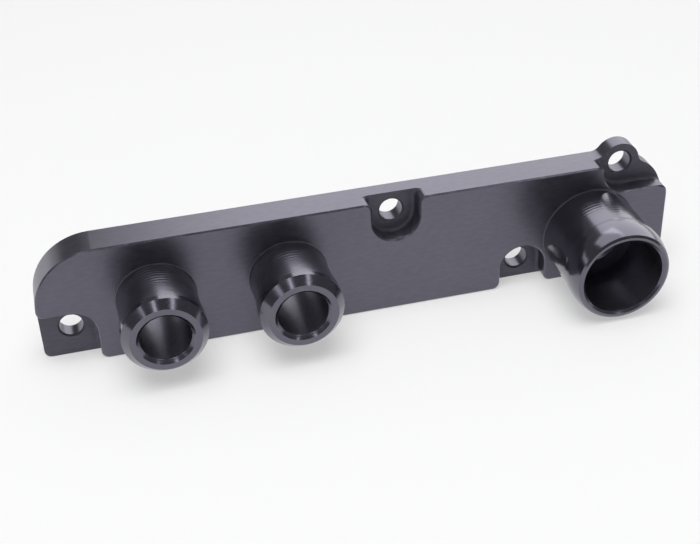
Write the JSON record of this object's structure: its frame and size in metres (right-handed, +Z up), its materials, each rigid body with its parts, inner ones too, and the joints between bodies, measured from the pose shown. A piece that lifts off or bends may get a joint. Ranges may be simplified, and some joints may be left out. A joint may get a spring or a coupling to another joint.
{
  "type": "breather adapter",
  "caption": "Milled plate with barbed hose ports standing out of its front and bolt holes sunk in pockets, for taking breather hoses off a flat engine face.",
  "frame": {"origin": "centre of the plate's mounting face, halfway along its length and its height without the lug", "axes": "+X along the plate from its rounded end to its lug end, +Y out of the mounting face towards the engine, so the ports point along -Y, +Z up towards the lug"},
  "size_m": [0.1776, 0.0345, 0.0382],
  "materials": {
    "anodised_metal": "satin black anodised over fine milling marks"
  },
  "bodies": {
    "root": {"adapter_body": "anodised_metal"}
  },
  "joints": []
}
